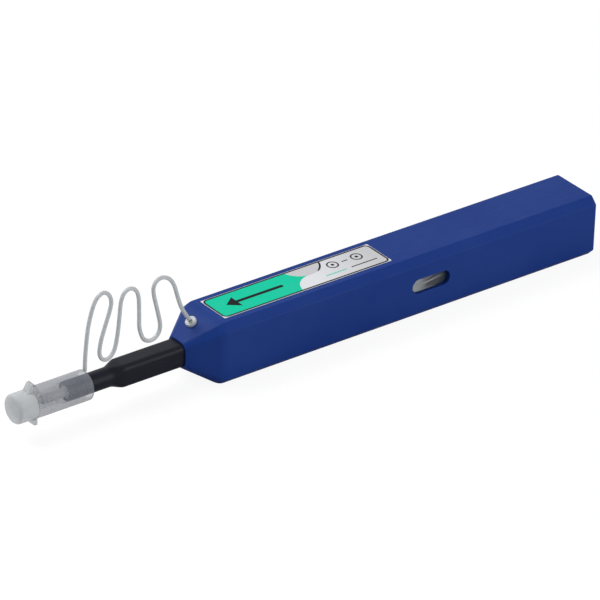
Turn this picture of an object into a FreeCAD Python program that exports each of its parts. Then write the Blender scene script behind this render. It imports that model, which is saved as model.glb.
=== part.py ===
import FreeCAD, Part
import math
import os

# Fibre connector cleaning pen. Millimetres.
# While building, x = 0 is the front end of the straight case, +X runs to the tail,
# and the nozzle axis is y = z = 0. Every piece is then moved to the part's own frame,
# whose origin is the centre of the flat underside of the case.

Vec = FreeCAD.Vector

# Case
CASE_LENGTH = 123.0
CASE_WIDTH = 18.0
CASE_HEIGHT = 17.7
CASE_CHAMFER = 2.0
EDGE_ROUND = 0.45
WALL = 1.5
TAPER_LENGTH = 8.4
TAPER_LIP = 0.45
CREASE_REACH = 1.3

# General clearances
SLIDE_GAP = 0.1
RUN_GAP = 0.08
FREE_GAP = 0.3

# Nozzle
NOZZLE_HALF = 3.2
NOZZLE_CORNER = 1.5
NECK_RADIUS = 2.65
SHOULDER_X = -26.6
NECK_X = -30.6
NOZZLE_TIP_X = -43.5
NOZZLE_BORE = 3.6
NOZZLE_SEAT = 2.5

# Stroke of the nozzle, and the turn of the tip that goes with it
PUSH = 6.5
HEAD_TURN = math.pi

# Rear plug
PLUG_DEPTH = 3.0

# Inner slide frame
FRAME_TAIL_ROOM = 5.5
FRAME_WEB = 1.2
FRAME_FLANGE = 1.0
FRONT_PLATE = 2.2
SPRING_PLATE = 2.0
SPIGOT_ROOM = 1.8
SPIGOT_PLAY = 0.375
THREAD_WAY = 1.6

# Main spring
MAIN_SPRING_SPACE = 15.5
MAIN_SPRING_RADIUS = 2.35
MAIN_SPRING_WIRE = 0.55
MAIN_SPRING_TURNS = 9
SEAT_PLAY = 0.05

# Carriage that the nozzle is fixed in
BLOCK_LENGTH = 6.2
BLOCK_HALF_Y = 4.8
YOKE_LENGTH = 2.2
YOKE_HALF_Z = 3.2
ARM_THICKNESS = 1.2
ARM_HALF_Z = 1.6

# Rack and pinion
PLATE_TO_PINION = 10.0
PITCH_RADIUS = 4.0
PINION_TEETH = 12
ADDENDUM = 0.6
DEDENDUM = 0.8
PRESSURE_ANGLE = math.radians(20.0)
BACKLASH = 0.24
PINION_Y = 2.6
PINION_WIDTH = 2.0
RACK_PAST_PINION = 3.0
RACK_FIRST_TOOTH = -5
RACK_TEETH = 7
RACK_DEPTH = 1.2

# Head drive
TUBE_OUTER = 2.4
TUBE_INNER = 1.5
TUBE_FRONT_X = -33.0
TUBE_PAST_YOKE = 1.0
DRUM_RADIUS = 2.9
DRUM_LENGTH = 13.7
CAM_PIN_INSET = 3.1
CAM_PIN_DIAMETER = 1.4
CAM_PIN_TIP_GAP = 0.25
CAM_GROOVE_DEPTH = 1.1
CAM_GROOVE_PLAY = 0.15
CAM_OVERRUN = 0.4

# Cleaning tip
SLEEVE_DIAMETER = 2.5
SLEEVE_TIP_X = -50.7
SLEEVE_REAR_X = -38.0
HEAD_DIAMETER = 1.5
HEAD_TIP_X = -52.6
HEAD_STEM_DIAMETER = 1.3
HEAD_REAR_X = -29.0
COLLAR_THICKNESS = 0.6
THREAD_DIAMETER = 0.24
THREAD_SPACING = 0.8
THREAD_PASSAGE = 0.36

# Reels
REEL_SPACING = 20.0
SUPPLY_TO_TAIL = 8.5
REEL_RADIUS = 5.8
REEL_HUB = 2.0
REEL_FLANGE = 0.6
REEL_PIN_DIAMETER = 2.0
REEL_Y = -4.4
TAKE_UP_INNER_Y = 1.0
SUPPLY_INNER_Y = 4.4
TAKE_UP_WOUND = 2.9
SUPPLY_WOUND = 4.6
PIN_HEAD = 0.4
PIN_HEAD_RADIUS = 1.6
PIN_RECESS = 0.05
GUIDE_PIN_TO_PINION = 7.8
GUIDE_PIN_Z = 4.4
GUIDE_PIN_DIAMETER = 1.4
GUIDE_PIN_REACH = 2.5
DRAG_THICKNESS = 0.2
DRAG_WIDTH = 2.0
DRAG_FOOT = 3.0
DRAG_RAMP = 3.0
DRAG_PAD = 2.3

# Lock button
LABEL_TO_SLOT = 4.35
SLOT_Z = 0.85
SLOT_LENGTH = 12.5
SLOT_HEIGHT = 4.2
BUTTON_PLAY = 0.2
BUTTON_SUNK = 0.15
BUTTON_FALL = 1.1
BUTTON_FLANGE = 0.8
BUTTON_RIM = 0.9
LEAF_THICKNESS = 0.25
LEAF_WIDTH = 3.0
LEAF_RAMP = 2.5
LEAF_FOOT = 3.0

# Label
LABEL_FRONT_X = 2.6
LABEL_LENGTH = 54.0
LABEL_WIDTH = 10.5
LABEL_THICKNESS = 0.12
LABEL_CORNER = 0.8

# Guide cap and lid
CAP_RADIUS = 4.1
CAP_REAR_X = -37.1
CAP_FRONT_X = -54.0
CAP_SOCKET_END_X = -45.1
CAP_CHAMBER = 4.4
CAP_WALL_FRONT = 1.2
SPIGOT_RADIUS = 1.85
SPIGOT_LENGTH = 3.6
FERRULE_BORE = 2.56
LID_RADIUS = 4.0
LID_LENGTH = 5.5
LID_WALL = 0.9
LID_ROUND = 0.9
HINGE_Z = 6.0
HINGE_WIDTH = 2.3
HINGE_SPLIT = 0.1
LUG_FRONT = 1.6
LUG_REAR = 1.7
TAB_REACH = 1.5

# Tether
STRAP_DIAMETER = 1.1
ANCHOR_X = -3.4
ANCHOR_Y = 0.8
ANCHOR_DIAMETER = 3.05
ANCHOR_HEIGHT = 0.9
ANCHOR_STEM = 1.6
ANCHOR_EYE = 1.1
# Corners of the strap's centreline from the cap to the case: (x, height above the nozzle axis)
STRAP_LAY = (
    (-37.3, 4.1), (-37.3, 7.5), (-37.0, 11.5), (-36.7, 14.7), (-36.2, 17.8), (-35.4, 20.8),
    (-34.5, 23.1), (-33.3, 24.5), (-31.6, 25.0), (-30.0, 23.7), (-29.3, 21.6), (-29.6, 19.7),
    (-30.5, 17.0), (-31.4, 14.4), (-32.3, 11.7), (-32.8, 9.2), (-32.9, 7.4), (-32.2, 5.8),
    (-30.7, 5.0), (-29.1, 5.7), (-28.0, 7.5), (-27.5, 10.0), (-27.1, 12.8), (-26.8, 16.0),
    (-26.6, 18.8), (-26.3, 21.2), (-25.3, 23.0), (-23.6, 23.6), (-21.9, 22.7), (-20.9, 20.6),
    (-20.7, 17.6), (-20.6, 14.0), (-20.6, 11.4), (-20.0, 9.2), (-19.2, 7.3), (-17.6, 6.3),
    (-15.9, 6.3), (-14.4, 7.3), (-13.8, 9.0), (-14.0, 10.9), (-14.7, 13.7), (-15.6, 17.0),
    (-16.2, 19.4), (-16.4, 21.2), (-15.7, 22.9), (-14.1, 23.5), (-12.4, 23.1), (-10.7, 21.9),
    (-9.4, 19.7), (-8.6, 17.1), (-7.7, 14.3), (-6.8, 12.1), (-5.5, 10.0),
)
STRAP_DRIFT_X = -16.0
# Share of the shorter run that each arc of a cord takes up on its side of the corner
ARC_REACH = 0.45

# Dependent sizes
INNER_HALF_Y = CASE_WIDTH / 2 - WALL
INNER_HALF_Z = CASE_HEIGHT / 2 - WALL
INNER_CHAMFER = CASE_CHAMFER - WALL * (2 - math.sqrt(2))
FRONT_HALF = NOZZLE_HALF + SLIDE_GAP + TAPER_LIP
TAPER_SLOPE = math.atan((CASE_HEIGHT / 2 - FRONT_HALF) / TAPER_LENGTH)
FRAME_HALF_Y = INNER_HALF_Y - SLIDE_GAP
FRAME_HALF_Z = INNER_HALF_Z - SLIDE_GAP
WEB_INNER_Y = FRAME_HALF_Y - FRAME_WEB
FLANGE_INNER_Z = FRAME_HALF_Z - FRAME_FLANGE
TOOTH_PITCH = 2 * math.pi * PITCH_RADIUS / PINION_TEETH
SLOT_X = LABEL_FRONT_X + LABEL_LENGTH + LABEL_TO_SLOT + SLOT_LENGTH / 2

# Stations along the frame, which is as long as what it holds and ends short of the rear plug
CARRIAGE_LENGTH = BLOCK_LENGTH + DRUM_LENGTH + 4 * SLIDE_GAP + YOKE_LENGTH
REEL_BAY = SPRING_PLATE + PLATE_TO_PINION + REEL_SPACING + SUPPLY_TO_TAIL
FRAME_LENGTH = FRONT_PLATE + FREE_GAP + CARRIAGE_LENGTH + MAIN_SPRING_SPACE + REEL_BAY
FRAME_X = CASE_LENGTH - PLUG_DEPTH - FRAME_TAIL_ROOM - FRAME_LENGTH
BLOCK_X = FRAME_X + FRONT_PLATE + FREE_GAP
NOZZLE_REAR_X = BLOCK_X + NOZZLE_SEAT
BLOCK_REAR_X = BLOCK_X + BLOCK_LENGTH
DRUM_X = BLOCK_REAR_X + 2 * SLIDE_GAP
CAM_PIN_X = DRUM_X + DRUM_LENGTH - CAM_PIN_INSET
YOKE_X = DRUM_X + DRUM_LENGTH + 2 * SLIDE_GAP
YOKE_REAR_X = YOKE_X + YOKE_LENGTH
SPRING_PLATE_X = YOKE_REAR_X + MAIN_SPRING_SPACE
PINION_X = SPRING_PLATE_X + SPRING_PLATE + PLATE_TO_PINION
SUPPLY_X = PINION_X + REEL_SPACING
GUIDE_PIN_X = PINION_X - GUIDE_PIN_TO_PINION
RACK_REAR_X = PINION_X + RACK_PAST_PINION


def box(x, length, y, width, z, height):
    return Part.makeBox(length, width, height, Vec(x, y, z))


def rod_x(x, length, radius, y=0.0, z=0.0):
    return Part.makeCylinder(radius, length, Vec(x, y, z), Vec(1, 0, 0))


def rod_y(y, length, radius, x=0.0, z=0.0):
    return Part.makeCylinder(radius, length, Vec(x, y, z), Vec(0, 1, 0))


def rounded_wire(corners, radius):
    """Closed outline through the corners, each one rounded by the radius."""
    count = len(corners)
    ends = []
    for i in range(count):
        here = corners[i]
        back = (corners[i - 1] - here).normalize()
        ahead = (corners[(i + 1) % count] - here).normalize()
        half_angle = back.getAngle(ahead) / 2
        reach = radius / math.tan(half_angle)
        middle = (back + ahead).normalize()
        centre = here + middle * (radius / math.sin(half_angle))
        ends.append((here + back * reach, centre - middle * radius, here + ahead * reach))
    edges = []
    for i in range(count):
        edges.append(Part.Arc(ends[i][0], ends[i][1], ends[i][2]).toShape())
        edges.append(Part.makeLine(ends[i][2], ends[(i + 1) % count][0]))
    return Part.Wire(edges)


def octagon_wire(x, half_y, half_z, chamfer, radius):
    """Rectangle across X with 45 degree chamfers and rounded corners."""
    corners = [
        Vec(x, half_y - chamfer, half_z),
        Vec(x, chamfer - half_y, half_z),
        Vec(x, -half_y, half_z - chamfer),
        Vec(x, -half_y, chamfer - half_z),
        Vec(x, chamfer - half_y, -half_z),
        Vec(x, half_y - chamfer, -half_z),
        Vec(x, half_y, chamfer - half_z),
        Vec(x, half_y, half_z - chamfer),
    ]
    return rounded_wire(corners, radius)


def square_wire(x, half, radius):
    """Square across X with rounded corners."""
    corners = [Vec(x, half, half), Vec(x, -half, half), Vec(x, -half, -half), Vec(x, half, -half)]
    return rounded_wire(corners, radius)


def prism_x(wire, length):
    return Part.Face(wire).extrude(Vec(length, 0, 0))


def stadium_y(x, z, length, height, y, depth):
    """Slot shape with round ends, long in X, running along Y."""
    radius = height / 2
    span = length - height
    bar = box(x - span / 2, span, y, depth, z - radius, height)
    front = rod_y(y, depth, radius, x - span / 2, z)
    rear = rod_y(y, depth, radius, x + span / 2, z)
    return bar.fuse([front, rear]).removeSplitter()


def coil(radius, wire, length, turns, start, axis):
    """Compression spring with the given mean radius, its wire drawn as a hexagon."""
    pitch = (length - wire) / turns
    helix = Part.makeHelix(pitch, pitch * turns, radius)
    corners = []
    for i in range(7):
        angle = math.radians(60 * i)
        corners.append(Vec(radius + wire / 2 * math.cos(angle), 0, wire / 2 * math.sin(angle)))
    solid = Part.Wire(helix.Edges).makePipeShell([Part.makePolygon(corners)], True, True)
    solid.translate(Vec(0, 0, wire / 2))
    turned = FreeCAD.Placement(start, FreeCAD.Rotation(Vec(0, 0, 1), axis))
    solid.Placement = turned.multiply(solid.Placement)
    return solid


def run(points, radius):
    """Round cord laid straight from point to point."""
    pieces = []
    for a, b in zip(points, points[1:]):
        pieces.append(Part.makeCylinder(radius, (b - a).Length, a, b - a))
    for point in points[1:-1]:
        pieces.append(Part.makeSphere(radius, point))
    return pieces[0].fuse(pieces[1:])


def strip(points, thickness, z, height):
    """Flat strip bent in the XY plane through the points."""
    back = [Vec(p.x, p.y + thickness, p.z) for p in reversed(points)]
    outline = Part.makePolygon(points + back + [points[0]])
    bent = Part.Face(outline).extrude(Vec(0, 0, height))
    bent.translate(Vec(0, 0, z))
    return bent


def taper_half_z(x):
    return CASE_HEIGHT / 2 + x * math.tan(TAPER_SLOPE)


def taper_normal():
    return Vec(-math.sin(TAPER_SLOPE), 0, math.cos(TAPER_SLOPE))


def anchor_seat():
    return Vec(ANCHOR_X, ANCHOR_Y, taper_half_z(ANCHOR_X))


def nose_section(x):
    """Case outline at x, easing from the straight body into the taper."""
    if x > -CREASE_REACH:
        taper = (CREASE_REACH - x) ** 2 / (4 * CREASE_REACH * TAPER_LENGTH)
    else:
        taper = -x / TAPER_LENGTH
    half_y = CASE_WIDTH / 2 + (FRONT_HALF - CASE_WIDTH / 2) * taper
    half_z = CASE_HEIGHT / 2 + (FRONT_HALF - CASE_HEIGHT / 2) * taper
    chamfer = CASE_CHAMFER + (FRONT_HALF * 0.36 - CASE_CHAMFER) * taper
    corner = EDGE_ROUND + (FRONT_HALF * 0.5 - EDGE_ROUND) * taper
    return octagon_wire(x, half_y, half_z, chamfer, corner)


def case_outside():
    straight = prism_x(nose_section(CREASE_REACH), CASE_LENGTH - CREASE_REACH)
    steps = 6
    eased = [nose_section(CREASE_REACH * (1 - 2 * i / steps)) for i in range(steps + 1)]
    crease = Part.makeLoft(eased, True, False)
    taper = Part.makeLoft([nose_section(-CREASE_REACH), nose_section(-TAPER_LENGTH)], True, True)
    body = straight.fuse([crease, taper])
    rim = [e for e in body.Edges if e.BoundBox.XMin > CASE_LENGTH - 1e-4]
    return body.makeFillet(EDGE_ROUND, rim)


def case_inside():
    wall_in_taper = WALL / math.cos(TAPER_SLOPE)
    mouth_half = NOZZLE_HALF + SLIDE_GAP
    mouth_x = (mouth_half + wall_in_taper - CASE_HEIGHT / 2) / math.tan(TAPER_SLOPE)
    straight = prism_x(octagon_wire(0, INNER_HALF_Y, INNER_HALF_Z, INNER_CHAMFER, EDGE_ROUND), CASE_LENGTH)
    rear = octagon_wire(0, INNER_HALF_Y, INNER_HALF_Z, INNER_CHAMFER, EDGE_ROUND)
    front = octagon_wire(mouth_x, mouth_half, mouth_half, INNER_CHAMFER, EDGE_ROUND)
    funnel = Part.makeLoft([front, rear], True, True)
    mouth = square_wire(-TAPER_LENGTH - 1, mouth_half, NOZZLE_CORNER + SLIDE_GAP)
    return straight.fuse([funnel, prism_x(mouth, TAPER_LENGTH + 1)])


def case_shell():
    slot = stadium_y(SLOT_X, SLOT_Z, SLOT_LENGTH, SLOT_HEIGHT, -CASE_WIDTH / 2 - 1, WALL + 2)
    seat = anchor_seat()
    peg_hole = Part.makeCylinder(ANCHOR_STEM / 2, 4 * WALL, seat - taper_normal() * 2 * WALL, taper_normal())
    shell = case_outside().cut(case_inside()).cut(slot)
    return shell.cut(peg_hole)


def rear_plug():
    front = CASE_LENGTH - PLUG_DEPTH
    plug = prism_x(octagon_wire(front, INNER_HALF_Y, INNER_HALF_Z, INNER_CHAMFER, EDGE_ROUND), PLUG_DEPTH - EDGE_ROUND)
    half_y = INNER_HALF_Y - WALL
    half_z = INNER_HALF_Z - WALL
    hollow = box(front - 1, PLUG_DEPTH - WALL + 1, -half_y, 2 * half_y, -half_z, 2 * half_z)
    return plug.cut(hollow)


def label():
    top = CASE_HEIGHT / 2
    sheet = box(LABEL_FRONT_X, LABEL_LENGTH, -LABEL_WIDTH / 2, LABEL_WIDTH, top, LABEL_THICKNESS)
    corners = [e for e in sheet.Edges if e.BoundBox.ZLength > LABEL_THICKNESS / 2]
    return sheet.makeFillet(LABEL_CORNER, corners)


def tether_anchor():
    seat = anchor_seat()
    axis = taper_normal()
    head = Part.makeCylinder(ANCHOR_DIAMETER / 2, ANCHOR_HEIGHT, seat, axis)
    rim = [e for e in head.Edges if isinstance(e.Curve, Part.Circle)]
    head = head.makeFillet(0.22, [max(rim, key=lambda e: e.CenterOfMass.dot(axis))])
    stem = Part.makeCylinder(ANCHOR_STEM / 2, WALL + 0.1, seat - axis * (WALL + 0.1), axis)
    barb = Part.makeCone(ANCHOR_STEM / 2 - 0.3, ANCHOR_STEM / 2 + 0.3, 1.0, seat - axis * (WALL + 1.1), axis)
    eye = Part.makeCylinder(ANCHOR_EYE / 2, ANCHOR_HEIGHT, seat + axis * 0.3, axis)
    return head.fuse([stem, barb]).cut(eye)


def button_crown():
    """Dome that is highest near the front end and sinks toward the tail."""
    face_y = BUTTON_SUNK - CASE_WIDTH / 2
    half = SLOT_LENGTH / 2
    low = -INNER_HALF_Y + 0.2
    points = [
        Vec(SLOT_X - half, face_y + 0.55, 0),
        Vec(SLOT_X - half * 0.55, face_y, 0),
        Vec(SLOT_X + half * 0.2, face_y + BUTTON_FALL * 0.45, 0),
        Vec(SLOT_X + half, face_y + BUTTON_FALL, 0),
    ]
    curve = Part.BSplineCurve()
    curve.interpolate(points)
    sides = Part.makePolygon([points[-1], Vec(SLOT_X + half, low, 0), Vec(SLOT_X - half, low, 0), points[0]])
    lengthwise = Part.Face(Part.Wire([curve.toShape()] + sides.Edges)).extrude(Vec(0, 0, SLOT_HEIGHT))
    lengthwise.translate(Vec(0, 0, SLOT_Z - SLOT_HEIGHT / 2))
    crown_radius = SLOT_HEIGHT * 0.85
    across = rod_x(SLOT_X - half, SLOT_LENGTH, crown_radius, face_y + crown_radius, SLOT_Z)
    return lengthwise.common(across)


def lock_button():
    length = SLOT_LENGTH - 2 * BUTTON_PLAY
    height = SLOT_HEIGHT - 2 * BUTTON_PLAY
    stem = stadium_y(SLOT_X, SLOT_Z, length, height, -CASE_WIDTH / 2, WALL + 0.4)
    rim_y = 0.05 - INNER_HALF_Y
    rim = stadium_y(SLOT_X, SLOT_Z, length + 2 * BUTTON_RIM, height + 2 * BUTTON_RIM, rim_y, BUTTON_FLANGE)
    return stem.common(button_crown()).fuse(rim).removeSplitter()


def lock_leaf():
    wall_y = -INNER_HALF_Y
    behind = wall_y + 0.1 + BUTTON_FLANGE
    flat = SLOT_LENGTH / 2 + BUTTON_RIM + 0.4
    points = [
        Vec(SLOT_X - flat - LEAF_RAMP - LEAF_FOOT, wall_y, 0),
        Vec(SLOT_X - flat - LEAF_RAMP, wall_y, 0),
        Vec(SLOT_X - flat, behind, 0),
        Vec(SLOT_X + flat, behind, 0),
        Vec(SLOT_X + flat + LEAF_RAMP, wall_y, 0),
        Vec(SLOT_X + flat + LEAF_RAMP + LEAF_FOOT, wall_y, 0),
    ]
    return strip(points, LEAF_THICKNESS, SLOT_Z - LEAF_WIDTH / 2, LEAF_WIDTH)


def slide_frame():
    outline = octagon_wire(FRAME_X, FRAME_HALF_Y, FRAME_HALF_Z, INNER_CHAMFER, 0.2)
    body = prism_x(outline, FRAME_LENGTH)
    inside_x = FRAME_X + FRONT_PLATE
    channel = box(inside_x, FRAME_LENGTH, -CASE_WIDTH, CASE_WIDTH + WEB_INNER_Y, -FLANGE_INNER_Z,
                  2 * FLANGE_INNER_Z)
    guide_wire = square_wire(FRAME_X - 1, NOZZLE_HALF + SLIDE_GAP, NOZZLE_CORNER + SLIDE_GAP)
    guide = prism_x(guide_wire, FRONT_PLATE + 2)
    body = body.cut([channel, guide])
    plate_y = -BLOCK_HALF_Y
    plate = box(SPRING_PLATE_X, SPRING_PLATE, plate_y, WEB_INNER_Y - plate_y, -FLANGE_INNER_Z,
                2 * FLANGE_INNER_Z)
    spigot_x = YOKE_REAR_X + PUSH + SPIGOT_ROOM
    spigot_radius = MAIN_SPRING_RADIUS - MAIN_SPRING_WIRE / 2 - SPIGOT_PLAY
    spigot = rod_x(spigot_x, SPRING_PLATE_X - spigot_x, spigot_radius)
    boss_y = PINION_Y + PINION_WIDTH + SLIDE_GAP
    boss = rod_y(boss_y, FRAME_HALF_Y - boss_y, PIN_HEAD_RADIUS, PINION_X)
    supply_y = SUPPLY_INNER_Y + SLIDE_GAP
    supply_boss = rod_y(supply_y, FRAME_HALF_Y - supply_y, PIN_HEAD_RADIUS, SUPPLY_X)
    body = body.fuse([plate, spigot, boss, supply_boss])
    rack_way = box(SPRING_PLATE_X - 1, SPRING_PLATE + 2, PINION_Y - FREE_GAP, PINION_WIDTH + 2 * FREE_GAP,
                   -FLANGE_INNER_Z, FLANGE_INNER_Z - PITCH_RADIUS + ADDENDUM + FREE_GAP)
    thread_way = rod_x(spigot_x - 1, SPRING_PLATE_X + SPRING_PLATE - spigot_x + 2, THREAD_WAY / 2)
    holes = [thread_way, rack_way]
    for x in (PINION_X, SUPPLY_X):
        holes.append(rod_y(0, CASE_WIDTH, REEL_PIN_DIAMETER / 2, x))
    holes.append(rod_y(0, CASE_WIDTH, GUIDE_PIN_DIAMETER / 2, GUIDE_PIN_X, GUIDE_PIN_Z))
    holes.append(Part.makeCylinder(CAM_PIN_DIAMETER / 2, CASE_HEIGHT, Vec(CAM_PIN_X, 0, 0)))
    return body.cut(holes)


def reel_pin(x):
    start = REEL_Y - SLIDE_GAP - PIN_HEAD
    head = rod_y(start, PIN_HEAD, PIN_HEAD_RADIUS, x)
    shank = rod_y(start, FRAME_HALF_Y - start - PIN_RECESS, REEL_PIN_DIAMETER / 2, x)
    return head.fuse(shank)


def guide_pin():
    length = GUIDE_PIN_REACH + FRAME_HALF_Y - PIN_RECESS
    return rod_y(-GUIDE_PIN_REACH, length, GUIDE_PIN_DIAMETER / 2, GUIDE_PIN_X, GUIDE_PIN_Z)


def cam_pin():
    low = DRUM_RADIUS - CAM_GROOVE_DEPTH + CAM_PIN_TIP_GAP
    return Part.makeCylinder(CAM_PIN_DIAMETER / 2, FRAME_HALF_Z - low - PIN_RECESS, Vec(CAM_PIN_X, 0, low))


def drag_leaf():
    near = SUPPLY_INNER_Y + SLIDE_GAP
    far = WEB_INNER_Y - DRAG_THICKNESS
    pad_x = SUPPLY_X - REEL_HUB - 2 * SLIDE_GAP - DRAG_PAD
    points = [
        Vec(pad_x - DRAG_RAMP - DRAG_FOOT, far, 0),
        Vec(pad_x - DRAG_RAMP, far, 0),
        Vec(pad_x, near, 0),
        Vec(pad_x + DRAG_PAD, near, 0),
    ]
    return strip(points, DRAG_THICKNESS, -DRAG_WIDTH / 2, DRAG_WIDTH)


def main_spring():
    length = MAIN_SPRING_SPACE - 2 * SEAT_PLAY
    start = Vec(YOKE_REAR_X + SEAT_PLAY, 0, 0)
    return coil(MAIN_SPRING_RADIUS, MAIN_SPRING_WIRE, length, MAIN_SPRING_TURNS, start, Vec(1, 0, 0))


def nozzle():
    tube = prism_x(square_wire(SHOULDER_X, NOZZLE_HALF, NOZZLE_CORNER), NOZZLE_REAR_X - SHOULDER_X)
    steps = 6
    sections = []
    for i in range(steps + 1):
        t = i / steps
        blend = t * t * (3 - 2 * t)
        half = NECK_RADIUS + (NOZZLE_HALF - NECK_RADIUS) * blend
        corner = (NECK_RADIUS - 0.05) + (NOZZLE_CORNER - NECK_RADIUS + 0.05) * blend
        sections.append(square_wire(NECK_X + (SHOULDER_X - NECK_X) * t, half, corner))
    shoulder = Part.makeLoft(sections, True, False)
    neck = prism_x(square_wire(NOZZLE_TIP_X, NECK_RADIUS, NECK_RADIUS - 0.05), NECK_X - NOZZLE_TIP_X)
    rim = [e for e in neck.Edges if e.BoundBox.XMax < NOZZLE_TIP_X + 1e-4]
    neck = neck.makeFillet(0.3, rim)
    bore = rod_x(NOZZLE_TIP_X - 1, NOZZLE_REAR_X - NOZZLE_TIP_X + 2, NOZZLE_BORE / 2)
    return tube.fuse([shoulder, neck]).cut(bore)


def rack_tooth(x, play):
    """Rack tooth outline in the XZ plane, pointing up across the pitch line."""
    half = (TOOTH_PITCH - BACKLASH) / 4 - BACKLASH / 4 + play / 2
    lean = math.tan(PRESSURE_ANGLE)
    top = ADDENDUM + play
    root = -DEDENDUM
    points = [
        Vec(x - half - lean * DEDENDUM, 0, root - PITCH_RADIUS),
        Vec(x - half + lean * top, 0, top - PITCH_RADIUS),
        Vec(x + half - lean * top, 0, top - PITCH_RADIUS),
        Vec(x + half + lean * DEDENDUM, 0, root - PITCH_RADIUS),
    ]
    return Part.Face(Part.makePolygon(points + [points[0]]))


def rack():
    bar_z = SLIDE_GAP * 3 - FLANGE_INNER_Z
    root_z = -PITCH_RADIUS - DEDENDUM
    bar = box(YOKE_X, RACK_REAR_X - YOKE_X, PINION_Y, PINION_WIDTH, bar_z, root_z - bar_z)
    teeth = []
    for i in range(RACK_TEETH):
        tooth_x = PINION_X + (RACK_FIRST_TOOTH + i) * TOOTH_PITCH
        tooth = rack_tooth(tooth_x, 0.0).extrude(Vec(0, PINION_WIDTH, 0))
        tooth.translate(Vec(0, PINION_Y, 0))
        teeth.append(tooth)
    leg = box(YOKE_X, YOKE_LENGTH, PINION_Y, PINION_WIDTH, bar_z, -bar_z)
    return bar.fuse(teeth + [leg])


def carriage():
    top = FLANGE_INNER_Z - SLIDE_GAP
    block = box(BLOCK_X, BLOCK_LENGTH, -BLOCK_HALF_Y, BLOCK_HALF_Y + WEB_INNER_Y - SLIDE_GAP, -top, 2 * top)
    arm_y = BLOCK_HALF_Y - ARM_THICKNESS
    arm_length = YOKE_X - BLOCK_REAR_X
    near_arm = box(BLOCK_REAR_X, arm_length, -BLOCK_HALF_Y, ARM_THICKNESS, -ARM_HALF_Z, 2 * ARM_HALF_Z)
    far_arm = box(BLOCK_REAR_X, arm_length, arm_y, ARM_THICKNESS, -ARM_HALF_Z, 2 * ARM_HALF_Z)
    yoke = box(YOKE_X, YOKE_LENGTH, -BLOCK_HALF_Y, 2 * BLOCK_HALF_Y, -YOKE_HALF_Z, 2 * YOKE_HALF_Z)
    body = block.fuse([near_arm, far_arm, yoke, rack()])
    socket = prism_x(square_wire(BLOCK_X - 1, NOZZLE_HALF, NOZZLE_CORNER), NOZZLE_REAR_X - BLOCK_X + 1)
    bearing = rod_x(BLOCK_X, YOKE_REAR_X - BLOCK_X + 1, TUBE_OUTER / 2 + RUN_GAP)
    return body.cut([socket, bearing])


def head_sleeve():
    root = rod_x(NOZZLE_TIP_X + 0.1, SLEEVE_REAR_X - NOZZLE_TIP_X - 0.1, NOZZLE_BORE / 2)
    tip = rod_x(SLEEVE_TIP_X, SLEEVE_REAR_X - SLEEVE_TIP_X, SLEEVE_DIAMETER / 2)
    rim = [e for e in tip.Edges if e.BoundBox.XMax < SLEEVE_TIP_X + 1e-4]
    tip = tip.makeChamfer(0.15, rim)
    bore = rod_x(SLEEVE_TIP_X - 1, SLEEVE_REAR_X - SLEEVE_TIP_X + 2, HEAD_DIAMETER / 2 + RUN_GAP)
    return root.fuse(tip).cut(bore)


def drive_tube():
    length = YOKE_REAR_X + TUBE_PAST_YOKE - TUBE_FRONT_X
    tube = rod_x(TUBE_FRONT_X, length, TUBE_OUTER / 2)
    return tube.cut(rod_x(TUBE_FRONT_X - 1, length + 2, TUBE_INNER / 2))


def cam_groove():
    """Cutters for the helical track that turns the drum half a turn over the push stroke."""
    lead = PUSH * 2 * math.pi / HEAD_TURN
    length = PUSH + 2 * CAM_OVERRUN
    width = CAM_PIN_DIAMETER + 2 * CAM_GROOVE_PLAY
    helix = Part.makeHelix(lead, length, DRUM_RADIUS)
    climb = math.atan(lead / (2 * math.pi * DRUM_RADIUS))
    side = Vec(0, -math.sin(climb), math.cos(climb)) * (width / 2)
    inner = Vec(DRUM_RADIUS - CAM_GROOVE_DEPTH, 0, 0)
    outer = Vec(DRUM_RADIUS + 0.6, 0, 0)
    section = Part.makePolygon([inner - side, outer - side, outer + side, inner + side, inner - side])
    track = Part.Wire(helix.Edges).makePipeShell([section], True, True)
    depth = outer.x - inner.x
    first = Part.makeCylinder(width / 2, depth, inner, Vec(1, 0, 0))
    last = first.copy()
    last.rotate(Vec(0, 0, 0), Vec(0, 0, 1), 360 * length / lead)
    last.translate(Vec(0, 0, length))
    cutters = [track, first, last]
    for cutter in cutters:
        cutter.rotate(Vec(0, 0, 0), Vec(0, 1, 0), 90)
        cutter.rotate(Vec(0, 0, 0), Vec(1, 0, 0), -360 * CAM_OVERRUN / lead)
        cutter.translate(Vec(CAM_PIN_X - PUSH - CAM_OVERRUN, 0, 0))
    return cutters


def cam_drum():
    drum = rod_x(DRUM_X, DRUM_LENGTH, DRUM_RADIUS)
    drum = drum.makeChamfer(0.25, [e for e in drum.Edges if isinstance(e.Curve, Part.Circle)])
    drum = drum.cut(rod_x(DRUM_X - 1, DRUM_LENGTH + 2, TUBE_OUTER / 2))
    for cutter in cam_groove():
        drum = drum.cut(cutter)
    return drum


def thread_bores():
    length = HEAD_REAR_X - HEAD_TIP_X + 2
    spots = (-THREAD_SPACING / 2, THREAD_SPACING / 2)
    return [rod_x(HEAD_TIP_X - 1, length, THREAD_PASSAGE / 2, y) for y in spots]


def cleaning_head():
    collar_x = SLEEVE_REAR_X + SLIDE_GAP
    tip = rod_x(HEAD_TIP_X, collar_x - HEAD_TIP_X, HEAD_DIAMETER / 2)
    rim = [e for e in tip.Edges if e.BoundBox.XMax < HEAD_TIP_X + 1e-4]
    tip = tip.makeFillet(0.15, rim)
    collar = rod_x(collar_x, COLLAR_THICKNESS, TUBE_OUTER / 2 + 0.15)
    stem = rod_x(collar_x, HEAD_REAR_X - collar_x, HEAD_STEM_DIAMETER / 2)
    return tip.fuse([collar, stem]).cut(thread_bores())


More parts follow.
